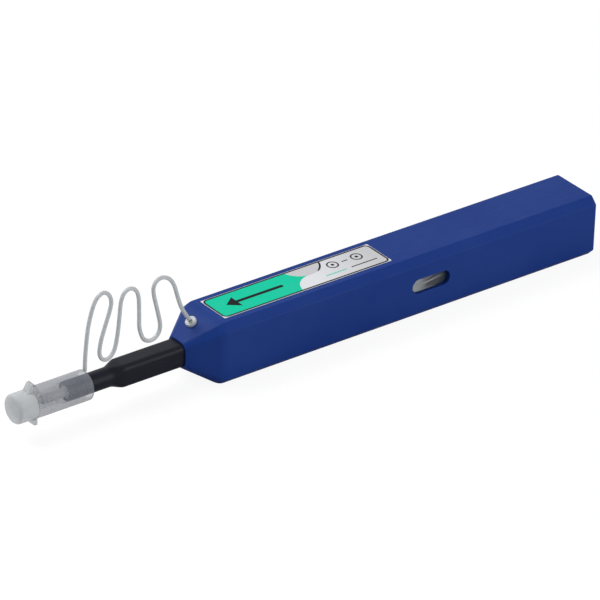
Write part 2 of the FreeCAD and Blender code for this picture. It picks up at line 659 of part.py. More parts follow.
def head_spring():
    start = SLEEVE_REAR_X + SLIDE_GAP + COLLAR_THICKNESS + 0.03
    return coil(1.15, 0.3, TUBE_FRONT_X - start - 0.03, 5, Vec(start, 0, 0), Vec(1, 0, 0))


def cleaning_thread():
    """Thread from the supply reel to the tip and back to the take-up reel."""
    radius = THREAD_DIAMETER / 2
    half = THREAD_SPACING / 2
    tip_x = HEAD_TIP_X - radius
    exit_x = SPRING_PLATE_X + SPRING_PLATE + 0.4
    over_pin = GUIDE_PIN_DIAMETER / 2 + radius + 0.02
    corner = over_pin * math.tan(math.pi / 8)
    wound = TAKE_UP_WOUND + radius + 0.02
    wrap = math.acos(wound / (PINION_X - exit_x))
    path = [
        Vec(SUPPLY_X, -0.5, SUPPLY_WOUND + radius + 0.02),
        Vec(GUIDE_PIN_X - corner, 0, GUIDE_PIN_Z + over_pin),
        Vec(GUIDE_PIN_X - over_pin, half, GUIDE_PIN_Z + corner),
        Vec(exit_x, half, 0),
        Vec(tip_x, half, 0),
        Vec(tip_x, -half, 0),
        Vec(exit_x, -half, 0),
        Vec(PINION_X - wound * math.cos(wrap), -1.2, -wound * math.sin(wrap)),
    ]
    return run(path, radius)


def pinion():
    blank = rod_y(PINION_Y, PINION_WIDTH, PITCH_RADIUS + ADDENDUM, PINION_X)
    steps = 12
    gap = []
    for i in range(-steps, steps + 1):
        shift = i / steps * 1.2 * TOOTH_PITCH
        cutter = rack_tooth(shift, BACKLASH).extrude(Vec(0, PINION_WIDTH + 2, 0))
        cutter.rotate(Vec(0, 0, 0), Vec(0, 1, 0), math.degrees(shift / PITCH_RADIUS))
        gap.append(cutter)
    space = gap[0].fuse(gap[1:])
    space.translate(Vec(PINION_X, PINION_Y - 1, 0))
    spaces = []
    for i in range(PINION_TEETH):
        turned = space.copy()
        turned.rotate(Vec(PINION_X, 0, 0), Vec(0, 1, 0), 360 / PINION_TEETH * i)
        spaces.append(turned)
    hub = rod_y(PINION_Y - 0.75, 0.75, REEL_HUB, PINION_X)
    bore = rod_y(-CASE_WIDTH / 2, CASE_WIDTH, REEL_PIN_DIAMETER / 2 + RUN_GAP, PINION_X)
    return blank.cut(spaces).fuse(hub).cut(bore)


def clutch_spring():
    inner = REEL_HUB + 0.05
    length = PINION_Y - TAKE_UP_INNER_Y - 0.2
    return coil(inner + 0.2, 0.4, length, 2.5, Vec(PINION_X, TAKE_UP_INNER_Y + 0.1, 0), Vec(0, 1, 0))


def reel(x, inner_y, hub_past):
    width = inner_y - REEL_Y
    near = rod_y(REEL_Y, REEL_FLANGE, REEL_RADIUS, x)
    far = rod_y(inner_y - REEL_FLANGE, REEL_FLANGE, REEL_RADIUS, x)
    hub = rod_y(REEL_Y, width + hub_past, REEL_HUB, x)
    bore = rod_y(REEL_Y - 1, width + 4, REEL_PIN_DIAMETER / 2 + RUN_GAP, x)
    return near.fuse([far, hub]).cut(bore)


def winding(x, inner_y, radius):
    width = inner_y - REEL_Y - 2 * REEL_FLANGE
    wound = rod_y(REEL_Y + REEL_FLANGE, width, radius, x)
    return wound.cut(rod_y(REEL_Y, width + 2, REEL_HUB, x))


def lug(points):
    outline = [Vec(x, -HINGE_WIDTH / 2, z) for x, z in points]
    return Part.Face(Part.makePolygon(outline + [outline[0]])).extrude(Vec(0, HINGE_WIDTH, 0))


def guide_cap():
    front = CAP_FRONT_X + HINGE_SPLIT / 2
    body = rod_x(front, CAP_REAR_X - front, CAP_RADIUS)
    rim = [e for e in body.Edges if e.BoundBox.XMin > CAP_REAR_X - 1e-4]
    body = body.makeFillet(0.3, rim)
    spigot = rod_x(CAP_FRONT_X - SPIGOT_LENGTH, SPIGOT_LENGTH + 1, SPIGOT_RADIUS)
    hinge = lug([
        (front, CAP_RADIUS - 0.3),
        (front, HINGE_Z),
        (front + 0.3, HINGE_Z),
        (front + LUG_REAR, CAP_RADIUS - 0.1),
    ])
    socket = rod_x(CAP_SOCKET_END_X, CAP_REAR_X - CAP_SOCKET_END_X + 1, NECK_RADIUS + SLIDE_GAP)
    chamber_x = CAP_FRONT_X + CAP_WALL_FRONT
    chamber = rod_x(chamber_x, CAP_SOCKET_END_X - chamber_x + 1, CAP_CHAMBER / 2)
    port = rod_x(CAP_FRONT_X - SPIGOT_LENGTH - 1, SPIGOT_LENGTH + 3, FERRULE_BORE / 2)
    return body.fuse([spigot, hinge]).cut([socket, chamber, port])


def cap_lid():
    rear = CAP_FRONT_X - HINGE_SPLIT / 2
    body = rod_x(CAP_FRONT_X - LID_LENGTH, LID_LENGTH - HINGE_SPLIT / 2, LID_RADIUS)
    rim = [e for e in body.Edges if e.BoundBox.XMax < CAP_FRONT_X - LID_LENGTH + 1e-4]
    body = body.makeFillet(LID_ROUND, rim)
    hinge = lug([
        (rear, LID_RADIUS - 0.3),
        (rear, HINGE_Z),
        (rear - 0.35, HINGE_Z),
        (rear - LUG_FRONT, LID_RADIUS - 0.1),
    ])
    tab_top = -CAP_RADIUS - FREE_GAP
    tab = lug([
        (rear, 0.3 - LID_RADIUS),
        (rear - 1.1, 0.3 - LID_RADIUS),
        (rear - 0.5, tab_top - 0.6),
        (rear + 0.6, -HINGE_Z),
        (rear + TAB_REACH, -HINGE_Z),
        (rear + TAB_REACH, tab_top),
        (rear, tab_top),
    ])
    hollow_x = CAP_FRONT_X - LID_LENGTH + 1.3
    hollow = rod_x(hollow_x, LID_LENGTH, LID_RADIUS - LID_WALL)
    return body.fuse([hinge, tab]).cut(hollow)


def strap_points():
    """Corners of the strap's lay, drifting sideways to the anchor over its last loop."""
    points = []
    for x, z in STRAP_LAY:
        drift = max(0.0, (x - STRAP_DRIFT_X) / (ANCHOR_X - STRAP_DRIFT_X))
        points.append(Vec(x, ANCHOR_Y * min(1.0, drift), z))
    points.append(anchor_seat() + taper_normal() * (ANCHOR_HEIGHT * 0.6))
    return points


def cord(points, radius):
    """Round cord of straight runs joined by tangent arcs, with the length of its centreline."""
    heading = (points[1] - points[0]).normalize()
    end = Part.Face(Part.Wire(Part.makeCircle(radius, points[0], heading)))
    at = points[0]
    spans = []
    length = 0.0
    for back, here, ahead in zip(points, points[1:], points[2:]):
        shorter = min((here - back).Length, (ahead - here).Length)
        reach = ARC_REACH * shorter
        straight = here - heading * reach - at
        spans.append(end.extrude(straight))
        end = end.translated(straight)
        new_heading = (ahead - here).normalize()
        turn = heading.getAngle(new_heading)
        bend = reach / math.tan(turn / 2)
        axis = heading.cross(new_heading).normalize()
        centre = here - heading * reach + axis.cross(heading) * bend
        spans.append(end.revolve(centre, axis, math.degrees(turn)))
        end = end.rotated(centre, axis, math.degrees(turn))
        print("arc radius", round(bend, 1))
        at = here + new_heading * reach
        heading = new_heading
        length += straight.Length + bend * turn
    spans.append(end.extrude(points[-1] - at))
    length += (points[-1] - at).Length
    return spans[0].fuse(spans[1:]).removeSplitter(), length


def tether():
    strap, length = cord(strap_points(), STRAP_DIAMETER / 2)
    section = math.pi * STRAP_DIAMETER ** 2 / 4
    print("strap length", round(length, 1), "volume over section times length", strap.Volume / section / length)
    return strap.cut([tether_anchor(), guide_cap()])


PIECES = {
    "case_shell": case_shell,
    "rear_plug": rear_plug,
    "label": label,
    "lock_button": lock_button,
    "lock_leaf": lock_leaf,
    "tether_anchor": tether_anchor,
    "tether": tether,
    "slide_frame": slide_frame,
    "take_up_pin": lambda: reel_pin(PINION_X),
    "supply_pin": lambda: reel_pin(SUPPLY_X),
    "guide_pin": guide_pin,
    "cam_pin": cam_pin,
    "drag_leaf": drag_leaf,
    "main_spring": main_spring,
    "nozzle": nozzle,
    "carriage": carriage,
    "head_sleeve": head_sleeve,
    "drive_tube": drive_tube,
    "cam_drum": cam_drum,
    "cleaning_head": cleaning_head,
    "head_spring": head_spring,
    "cleaning_thread": cleaning_thread,
    "pinion": pinion,
    "clutch_spring": clutch_spring,
    "take_up_reel": lambda: reel(PINION_X, TAKE_UP_INNER_Y, 0.75),
    "take_up_winding": lambda: winding(PINION_X, TAKE_UP_INNER_Y, TAKE_UP_WOUND),
    "supply_reel": lambda: reel(SUPPLY_X, SUPPLY_INNER_Y, 0.0),
    "supply_winding": lambda: winding(SUPPLY_X, SUPPLY_INNER_Y, SUPPLY_WOUND),
    "guide_cap": guide_cap,
    "cap_lid": cap_lid,
}

os.makedirs("parts", exist_ok=True)
for name, make in PIECES.items():
    shape = make()
    shape.translate(Vec(-CASE_LENGTH / 2, 0, CASE_HEIGHT / 2))
    shape.exportStep("parts/" + name + ".step")
    print(name, shape.ShapeType, len(shape.Solids), shape.isValid(), round(shape.Volume, 2))
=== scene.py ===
import math
import bpy
from mathutils import Matrix, Vector


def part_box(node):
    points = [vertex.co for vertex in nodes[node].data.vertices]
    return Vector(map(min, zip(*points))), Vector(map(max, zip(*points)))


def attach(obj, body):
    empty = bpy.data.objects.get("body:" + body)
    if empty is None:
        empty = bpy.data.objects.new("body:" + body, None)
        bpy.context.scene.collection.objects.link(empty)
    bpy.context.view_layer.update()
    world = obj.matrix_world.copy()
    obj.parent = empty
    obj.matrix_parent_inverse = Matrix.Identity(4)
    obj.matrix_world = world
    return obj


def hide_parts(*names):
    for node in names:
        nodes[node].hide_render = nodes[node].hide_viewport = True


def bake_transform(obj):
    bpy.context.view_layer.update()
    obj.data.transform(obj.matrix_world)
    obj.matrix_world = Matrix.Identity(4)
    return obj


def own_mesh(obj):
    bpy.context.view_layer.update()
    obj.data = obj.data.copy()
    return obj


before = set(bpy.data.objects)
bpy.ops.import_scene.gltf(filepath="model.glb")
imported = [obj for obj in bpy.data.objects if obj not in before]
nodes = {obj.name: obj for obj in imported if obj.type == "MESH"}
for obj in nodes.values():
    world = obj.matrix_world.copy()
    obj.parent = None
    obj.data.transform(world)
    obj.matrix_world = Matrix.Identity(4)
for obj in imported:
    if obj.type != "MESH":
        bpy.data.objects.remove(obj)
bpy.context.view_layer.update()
scene = bpy.context.scene
scene.view_settings.view_transform = "Standard"
mm = 0.001
print("frame loaded:", len(nodes), "nodes")


# Small helpers for shader trees

def srgb(red, green, blue):
    linear = []
    for value in (red, green, blue):
        share = value / 255
        linear.append(share / 12.92 if share <= 0.04045 else ((share + 0.055) / 1.055) ** 2.4)
    return (*linear, 1.0)


def newMaterial(name):
    material = bpy.data.materials.new(name)
    material.use_nodes = True
    tree = material.node_tree
    shader = tree.nodes["Principled BSDF"]
    return material, tree, shader


def feed(tree, socket, value):
    if hasattr(value, "is_output"):
        tree.links.new(value, socket)
    else:
        socket.default_value = value


def calc(tree, operation, first, second=0.0, third=None, clamp=False):
    node = tree.nodes.new("ShaderNodeMath")
    node.operation = operation
    node.use_clamp = clamp
    feed(tree, node.inputs[0], first)
    feed(tree, node.inputs[1], second)
    if third is not None:
        feed(tree, node.inputs[2], third)
    return node.outputs[0]


def mixColour(tree, share, first, second, kind="MIX"):
    node = tree.nodes.new("ShaderNodeMix")
    node.data_type = "RGBA"
    node.blend_type = kind
    feed(tree, node.inputs["Factor"], share)
    feed(tree, node.inputs["A"], first)
    feed(tree, node.inputs["B"], second)
    return node.outputs["Result"]


def ramp(tree, value, low, high, first=0.0, second=1.0):
    node = tree.nodes.new("ShaderNodeMapRange")
    feed(tree, node.inputs["Value"], value)
    node.inputs["From Min"].default_value = low
    node.inputs["From Max"].default_value = high
    node.inputs["To Min"].default_value = first
    node.inputs["To Max"].default_value = second
    return node.outputs["Result"]


def place(tree, scale=(1, 1, 1), offset=(0, 0, 0)):
    coordinates = tree.nodes.new("ShaderNodeTexCoord")
    mapping = tree.nodes.new("ShaderNodeMapping")
    mapping.inputs["Scale"].default_value = scale
    mapping.inputs["Location"].default_value = offset
    tree.links.new(coordinates.outputs["Object"], mapping.inputs["Vector"])
    return mapping.outputs["Vector"]


def noise(tree, vector, scale, detail=3.0, roughness=0.55):
    node = tree.nodes.new("ShaderNodeTexNoise")
    tree.links.new(vector, node.inputs["Vector"])
    node.inputs["Scale"].default_value = scale
    node.inputs["Detail"].default_value = detail
    node.inputs["Roughness"].default_value = roughness
    return node.outputs["Fac"]


def bump(tree, height, strength, distance, before=None):
    node = tree.nodes.new("ShaderNodeBump")
    node.inputs["Strength"].default_value = strength
    node.inputs["Distance"].default_value = distance
    tree.links.new(height, node.inputs["Height"])
    if before is not None:
        tree.links.new(before, node.inputs["Normal"])
    return node.outputs["Normal"]


def edgeShare(tree, radius):
    # how far the surface turns within the radius: 0 on flats, near 1 on an edge
    soft = tree.nodes.new("ShaderNodeBevel")
    soft.samples = 6
    soft.inputs["Radius"].default_value = radius
    plain = tree.nodes.new("ShaderNodeNewGeometry")
    match = tree.nodes.new("ShaderNodeVectorMath")
    match.operation = "DOT_PRODUCT"
    tree.links.new(soft.outputs["Normal"], match.inputs[0])
    tree.links.new(plain.outputs["Normal"], match.inputs[1])
    return ramp(tree, match.outputs["Value"], 0.995, 0.9)


# Finishes

caseLook = {
    "colour": srgb(14, 49, 122), "wearAndShading": srgb(52, 84, 154), "gloss": 0.46, "grain": 0.13 * mm,
    "shine": 0.12, "driftShare": 0.12, "markShare": 0.08, "edgeWidth": 0.35 * mm, "edgeWear": (0.04, 0.18),
}


def caseBlue():
    # satin moulded shell: fine spark grain, slow colour drift, paler rubbed edges, faint lengthwise marks
    look = caseLook
    material, tree, shader = newMaterial("caseBlue")
    drift = noise(tree, place(tree), 45, 2)
    rubbed = noise(tree, place(tree, (0.12, 1, 1)), 1400, 4)
    grain = noise(tree, place(tree), 1 / look["grain"], 2)
    paling = ramp(tree, drift, 0.35, 0.7, 0.0, look["driftShare"])
    base = mixColour(tree, paling, look["colour"], look["wearAndShading"])
    marks = calc(tree, "MULTIPLY", ramp(tree, rubbed, 0.58, 0.75), look["markShare"])
    base = mixColour(tree, marks, base, look["wearAndShading"])
    wear = ramp(tree, rubbed, 0.3, 0.7, *look["edgeWear"])
    edges = calc(tree, "MULTIPLY", edgeShare(tree, look["edgeWidth"]), wear)
    feed(tree, shader.inputs["Base Color"], mixColour(tree, edges, base, look["wearAndShading"]))
    feed(tree, shader.inputs["Roughness"], ramp(tree, rubbed, 0.3, 0.75, look["gloss"], look["gloss"] + 0.12))
    shader.inputs["Specular IOR Level"].default_value = look["shine"]
    waves = bump(tree, drift, 0.05, 0.3 * mm)
    feed(tree, shader.inputs["Normal"], bump(tree, grain, 0.12, 0.02 * mm, waves))
    return material


nozzleLook = {
    "colour": srgb(14, 15, 27), "wearAndShading": srgb(52, 53, 68), "gloss": 0.38, "grain": 0.16 * mm,
    "shine": 0.14, "markShare": 0.35, "edgeWidth": 0.3 * mm, "edgeWear": 0.3,
}


def nozzleBlack():
    # near-black plastic, smoother than the case, with rubbed corners and faint slide marks along it
    look = nozzleLook
    material, tree, shader = newMaterial("nozzleBlack")
    slide = noise(tree, place(tree, (0.06, 1, 1)), 2600, 3)
    grain = noise(tree, place(tree), 1 / look["grain"], 3)
    marks = calc(tree, "MULTIPLY", ramp(tree, slide, 0.56, 0.8), look["markShare"])
    base = mixColour(tree, marks, look["colour"], look["wearAndShading"])
    edges = calc(tree, "MULTIPLY", edgeShare(tree, look["edgeWidth"]), look["edgeWear"])
    feed(tree, shader.inputs["Base Color"], mixColour(tree, edges, base, look["wearAndShading"]))
    feed(tree, shader.inputs["Roughness"], ramp(tree, slide, 0.3, 0.8, look["gloss"], look["gloss"] + 0.15))
    shader.inputs["Specular IOR Level"].default_value = look["shine"]
    feed(tree, shader.inputs["Normal"], bump(tree, grain, 0.16, 0.02 * mm))
    return material


# solid: share of light each wall stops; bore: the same inside boreRadius of the nozzle's axis
capLook = {
    "tint": srgb(142, 146, 155), "shade": srgb(130, 135, 146), "solid": 0.53, "haze": 0.4,
    "bore": 0.15, "boreRadius": 3.0, "skinRadius": 3.7,
}
lidLook = {"tint": srgb(208, 211, 214), "shade": srgb(200, 204, 207), "solid": 0.72, "haze": 0.42}


def frostedClear(name, look):
    # milky moulded polymer: each wall lets part of the light through, with flow streaks and a frosted skin
    material, tree, shader = newMaterial(name)
    flow = noise(tree, place(tree, (0.35, 1, 1)), 520, 3)
    frost = noise(tree, place(tree), 5200, 2)
    base = mixColour(tree, ramp(tree, flow, 0.3, 0.75), look["tint"], look["shade"])
    feed(tree, shader.inputs["Base Color"], base)
    haze = look["haze"]
    feed(tree, shader.inputs["Roughness"], ramp(tree, flow, 0.25, 0.8, haze - 0.06, haze + 0.1))
    if "bore" in look:
        # the polished bore lets more light through than the frosted outer skin
        low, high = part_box("nozzle")
        split = tree.nodes.new("ShaderNodeSeparateXYZ")
        tree.links.new(place(tree, (1, 1, 1), (0, 0, -(low.z + high.z) / 2)), split.inputs[0])
        across = calc(tree, "POWER", split.outputs[1], 2.0)
        reach = calc(tree, "SQRT", calc(tree, "ADD", across, calc(tree, "POWER", split.outputs[2], 2.0)))
        radii = (look["boreRadius"] * mm, look["skinRadius"] * mm)
        feed(tree, shader.inputs["Alpha"], ramp(tree, reach, *radii, look["bore"], look["solid"]))
    else:
        shader.inputs["Alpha"].default_value = look["solid"]
    shader.inputs["Specular IOR Level"].default_value = 0.3
    feed(tree, shader.inputs["Normal"], bump(tree, frost, 0.04, 0.01 * mm))
    return material


strapLook = {"tint": srgb(200, 204, 206), "shade": srgb(193, 197, 200), "solid": 0.9, "haze": 0.3}
# button colours: a pale painted highlight for the front, the middle grey, a dark painted shade for the tail,
# and a painted highlight glint
buttonLook = {
    "front": srgb(150, 156, 158), "middle": srgb(62, 63, 68), "tail": srgb(34, 44, 56),
    "paintedGlint": srgb(158, 158, 162), "gloss": 0.26, "shine": 0.3, "glintHeight": 0.16, "glintWidth": 0.12,
}


def buttonGrey():
    # moulded thumb button: painted highlight on its front and lower edge, painted shade darkening toward the
    # tail and upper edge, one painted highlight glint along it
    look = buttonLook
    material, tree, shader = newMaterial("buttonGrey")
    low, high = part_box("lock_button")
    middle = (low + high) / 2
    half = (high - low) / 2
    split = tree.nodes.new("ShaderNodeSeparateXYZ")
    scale = (1 / half.x, 1, 1 / half.z)
    placed = place(tree, scale, (-middle.x * scale[0], 0, -middle.z * scale[2]))
    tree.links.new(placed, split.inputs[0])
    along, up = split.outputs[0], split.outputs[2]
    polish = noise(tree, place(tree, (0.3, 1, 1)), 700, 3)
    grain = noise(tree, place(tree), 6000, 2)
    # painted light and shade: ramp from a painted highlight at the front and lower edge to painted shade at
    # the tail and upper edge, shifted a little by the polish noise
    wearAndShading = calc(tree, "ADD", along, ramp(tree, polish, 0.3, 0.7, -0.2, 0.2))
    wearAndShading = calc(tree, "ADD", wearAndShading, calc(tree, "MULTIPLY", up, 0.5))
    base = mixColour(tree, ramp(tree, wearAndShading, -0.75, -0.1), look["front"], look["middle"])
    base = mixColour(tree, ramp(tree, wearAndShading, 0.1, 0.9), base, look["tail"])
    # painted highlight: a thin glint line along the button just above its middle, faded at both ends
    offLine = calc(tree, "ABSOLUTE", calc(tree, "SUBTRACT", up, look["glintHeight"]))
    paintedGlint = ramp(tree, offLine, look["glintWidth"], 0.02)
    paintedGlint = calc(tree, "MULTIPLY", paintedGlint, ramp(tree, along, 0.75, 0.1))
    paintedGlint = calc(tree, "MULTIPLY", paintedGlint, ramp(tree, along, -0.6, -0.2, 0.0, 0.8))
    feed(tree, shader.inputs["Base Color"], mixColour(tree, paintedGlint, base, look["paintedGlint"]))
    feed(tree, shader.inputs["Roughness"], ramp(tree, polish, 0.3, 0.7, look["gloss"], look["gloss"] + 0.12))
    shader.inputs["Specular IOR Level"].default_value = look["shine"]
    feed(tree, shader.inputs["Normal"], bump(tree, grain, 0.06, 0.02 * mm))
    return material


def acetal(name, colour, shade):
    # moulded engineering plastic for the inner pieces
    material, tree, shader = newMaterial(name)
    flow = noise(tree, place(tree), 300, 3)
    grain = noise(tree, place(tree), 5000, 2)
    feed(tree, shader.inputs["Base Color"], mixColour(tree, ramp(tree, flow, 0.3, 0.7), colour, shade))
    feed(tree, shader.inputs["Roughness"], ramp(tree, flow, 0.3, 0.7, 0.34, 0.46))
    feed(tree, shader.inputs["Normal"], bump(tree, grain, 0.1, 0.02 * mm))
    return material


def steel(name, colour, along, gloss):
    # drawn or ground metal with lines along or round the piece
    material, tree, shader = newMaterial(name)
    lines = noise(tree, place(tree, along), 4000, 3)
    feed(tree, shader.inputs["Base Color"], mixColour(tree, lines, colour, srgb(120, 122, 126)))
    feed(tree, shader.inputs["Roughness"], ramp(tree, lines, 0.3, 0.7, gloss, gloss + 0.14))
    feed(tree, shader.inputs["Normal"], bump(tree, lines, 0.12, 0.01 * mm))
    shader.inputs["Metallic"].default_value = 1.0
    return material


def threadFibre():
    # twisted cleaning thread, wound in fine turns
    material, tree, shader = newMaterial("threadFibre")
    wave = tree.nodes.new("ShaderNodeTexWave")
    wave.bands_direction = "Y"
    wave.inputs["Scale"].default_value = 1300
    wave.inputs["Distortion"].default_value = 1.5
    tree.links.new(place(tree), wave.inputs["Vector"])
    fibre = noise(tree, place(tree), 9000, 4)
    share = calc(tree, "MULTIPLY", wave.outputs["Fac"], fibre)
    feed(tree, shader.inputs["Base Color"], mixColour(tree, share, srgb(206, 206, 200), srgb(246, 246, 242)))
    shader.inputs["Roughness"].default_value = 0.85
    feed(tree, shader.inputs["Normal"], bump(tree, share, 0.6, 0.06 * mm))
    return material


# Label: printed film, its fields laid out in millimetres from the middle of the sheet

labelLook = {
    "white": srgb(226, 227, 231), "grey": srgb(200, 200, 203), "line": srgb(6, 8, 12),
    "teal": srgb(0, 200, 160), "handled": srgb(150, 152, 156), "shine": 0.06,
    "border": 0.36, "corner": 1.3, "lineWidth": 0.52, "cut": 0.15, "cutSteps": 4,
    # along the sheet: where the pale panel turns grey, where the teal ends, where the tab's rim fades in
    "greyFrom": 4, "greyFull": 24, "tealTo": 5.4, "rimFrom": 7.2, "rimFull": 8.2,
    # discs: middle along and across, radius
    "hollow": (4.6, -5.6, 6.2), "tab": (5.1, 6.2, 5.7),
    "shaftMiddle": -12.0, "shaftHalf": (7.5, 0.55), "shaftCorner": 0.1,
    "headTip": -22.6, "headLength": 3.4, "headSlope": 0.75,
    # plain rings with a dot on the pale panel: place, ring radius, dot radius
    "faces": ((12.8, 1.5, 1.5, 0.5), (20.6, 1.5, 1.5, 0.5)), "faceLine": 0.42, "inkBlur": 0.05,
    # plain rules: middle, half length, half thickness, colour
    "rules": ((16.7, 1.5, 1.0, 0.2, "line"), (20.4, -2.2, 4.2, 0.2, "line"), (11.2, -2.3, 3.4, 0.18, "teal")),
}


def circleSide(tree, across, up, centreX, centreY, radius):
    # distance past the circle's rim, negative inside
    dx = calc(tree, "SUBTRACT", across, centreX)
    dy = calc(tree, "SUBTRACT", up, centreY)
    squares = calc(tree, "ADD", calc(tree, "MULTIPLY", dx, dx), calc(tree, "MULTIPLY", dy, dy))
    reach = calc(tree, "SQRT", squares)
    return calc(tree, "SUBTRACT", reach, radius)


def inside(tree, distance, blur=0.03):
    return ramp(tree, distance, blur, -blur)


def roundedBox(tree, across, up, halfX, halfY, corner):
    # distance past a box with round corners, negative inside
    dx = calc(tree, "SUBTRACT", calc(tree, "ABSOLUTE", across), halfX - corner)
    dy = calc(tree, "SUBTRACT", calc(tree, "ABSOLUTE", up), halfY - corner)
    outX = calc(tree, "MAXIMUM", dx, 0.0)
    outY = calc(tree, "MAXIMUM", dy, 0.0)
    squares = calc(tree, "ADD", calc(tree, "MULTIPLY", outX, outX), calc(tree, "MULTIPLY", outY, outY))
    corners = calc(tree, "SQRT", squares)
    flats = calc(tree, "MINIMUM", calc(tree, "MAXIMUM", dx, dy), 0.0)
    return calc(tree, "SUBTRACT", calc(tree, "ADD", corners, flats), corner)


def labelFilm():
    low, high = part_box("label")
    middle = (low + high) / 2
    halfX = (high.x - low.x) / 2 / mm
    halfY = (high.y - low.y) / 2 / mm
    look = labelLook
    material, tree, shader = newMaterial("labelFilm")
    perMm = 1 / mm
    split = tree.nodes.new("ShaderNodeSeparateXYZ")
    placed = place(tree, (perMm, perMm, perMm), (-middle.x * perMm, -middle.y * perMm, 0))
    tree.links.new(placed, split.inputs[0])
    across, up = split.outputs[0], split.outputs[1]
    panel = roundedBox(tree, across, up, halfX - look["border"], halfY - look["border"], look["corner"])
    # pale panel shades from white to grey toward the tail
    greying = ramp(tree, across, look["greyFrom"], look["greyFull"])
    pale = mixColour(tree, greying, look["white"], look["grey"])
    # teal field ends in a round hollow near the lower edge
    hollow = circleSide(tree, across, up, *look["hollow"])
    pastTeal = calc(tree, "SUBTRACT", across, look["tealTo"])
    tealEnd = calc(tree, "MAXIMUM", pastTeal, calc(tree, "MULTIPLY", hollow, -1.0))
    art = mixColour(tree, inside(tree, tealEnd), pale, look["teal"])
    # grey tab hangs from the upper edge as part of a disc
    tab = circleSide(tree, across, up, *look["tab"])
    art = mixColour(tree, inside(tree, tab), art, look["grey"])
    tabRim = calc(tree, "SUBTRACT", calc(tree, "ABSOLUTE", tab), look["lineWidth"] / 2)
    rimFade = ramp(tree, across, look["rimFrom"], look["rimFull"])
    rimShown = calc(tree, "MULTIPLY", inside(tree, tabRim), rimFade)
    art = mixColour(tree, rimShown, art, look["line"])
    # arrow that shows which way the pen is pressed
    shaftX = calc(tree, "SUBTRACT", across, look["shaftMiddle"])
    shaft = roundedBox(tree, shaftX, up, *look["shaftHalf"], look["shaftCorner"])
    headX = calc(tree, "SUBTRACT", across, look["headTip"])
    flank = calc(tree, "MULTIPLY", headX, look["headSlope"])
    slope = calc(tree, "SUBTRACT", calc(tree, "ABSOLUTE", up), flank)
    head = calc(tree, "MAXIMUM", slope, calc(tree, "SUBTRACT", headX, look["headLength"]))
    arrow = calc(tree, "MINIMUM", shaft, head)
    art = mixColour(tree, inside(tree, arrow, look["inkBlur"]), art, look["line"])
    for x, y, ring, core in look["faces"]:
        rim = calc(tree, "ABSOLUTE", circleSide(tree, across, up, x, y, ring))
        mark = calc(tree, "SUBTRACT", rim, look["faceLine"] / 2)
        mark = calc(tree, "MINIMUM", mark, circleSide(tree, across, up, x, y, core))
        art = mixColour(tree, inside(tree, mark, look["inkBlur"]), art, look["line"])
    for x, y, halfLong, halfThick, colour in look["rules"]:
        besideX = calc(tree, "SUBTRACT", across, x)
        besideY = calc(tree, "SUBTRACT", up, y)
        rule = roundedBox(tree, besideX, besideY, halfLong, halfThick, halfThick)
        art = mixColour(tree, inside(tree, rule, look["inkBlur"]), art, look[colour])
    frameLine = calc(tree, "SUBTRACT", calc(tree, "ABSOLUTE", panel), look["lineWidth"] / 2)
    base = mixColour(tree, inside(tree, panel), look["white"], art)
    base = mixColour(tree, inside(tree, frameLine), base, look["line"])
    handled = noise(tree, place(tree), 220, 4)
    base = mixColour(tree, ramp(tree, handled, 0.5, 0.8, 0.0, 0.06), base, look["handled"])
    feed(tree, shader.inputs["Base Color"], base)
    feed(tree, shader.inputs["Roughness"], ramp(tree, handled, 0.3, 0.7, 0.3, 0.42))
    shader.inputs["Specular IOR Level"].default_value = look["shine"]
    feed(tree, shader.inputs["Normal"], bump(tree, noise(tree, place(tree), 700, 2), 0.08, 0.05 * mm))
    return material


def makeLabel(material):
    # flat sheet with nearly square cut corners, on the case where the frame has its label
    low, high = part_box("label")
    cut = labelLook["cut"] * mm
    steps = labelLook["cutSteps"]
    rim = []
    for quarter, (x, y) in enumerate(((high.x, high.y), (low.x, high.y), (low.x, low.y), (high.x, low.y))):
        turn = quarter * math.pi / 2
        inX = x - cut * (1 if x == high.x else -1)
        inY = y - cut * (1 if y == high.y else -1)
        for step in range(steps + 1):
            angle = turn + step / steps * math.pi / 2
            rim.append((inX + cut * math.cos(angle), inY + cut * math.sin(angle)))
    count = len(rim)
    points = [(x, y, low.z) for x, y in rim] + [(x, y, high.z) for x, y in rim]
    faces = [tuple(reversed(range(count))), tuple(range(count, 2 * count))]
    for i in range(count):
        j = (i + 1) % count
        faces.append((i, j, count + j, count + i))
    mesh = bpy.data.meshes.new("labelSheet")
    mesh.from_pydata(points, [], faces)
    mesh.materials.append(material)
    piece = bpy.data.objects.new("labelSheet", mesh)
    scene.collection.objects.link(piece)
    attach(piece, "case")
    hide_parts("label")


def dress(material, *names):
    for name in names:
        node = nodes[name]
        node.data.materials.clear()
        node.data.materials.append(material)


dress(caseBlue(), "case_shell", "rear_plug")
dress(nozzleBlack(), "nozzle")
dress(frostedClear("capFrost", capLook), "guide_cap")
dress(frostedClear("lidFrost", lidLook), "cap_lid")
softClear = frostedClear("strapClear", strapLook)
dress(softClear, "tether_anchor")
dress(buttonGrey(), "lock_button")
dress(acetal("frameGrey", srgb(126, 130, 134), srgb(104, 108, 113)), "slide_frame")
gearWhite = acetal("gearWhite", srgb(226, 226, 220), srgb(206, 206, 200))
dress(gearWhite, "carriage", "pinion", "take_up_reel", "supply_reel")
dress(acetal("drumBlack", srgb(38, 38, 42), srgb(54, 54, 60)), "cam_drum")
dress(acetal("tipWhite", srgb(236, 236, 232), srgb(214, 214, 210)), "head_sleeve", "cleaning_head")
springWire = steel("springWire", srgb(196, 198, 202), (1, 1, 0.2), 0.24)
dress(springWire, "clutch_spring")
dress(steel("leafSteel", srgb(206, 208, 212), (0.05, 1, 1), 0.22), "lock_leaf", "drag_leaf")
pinSteel = steel("pinSteel", srgb(190, 192, 196), (1, 0.05, 1), 0.18)
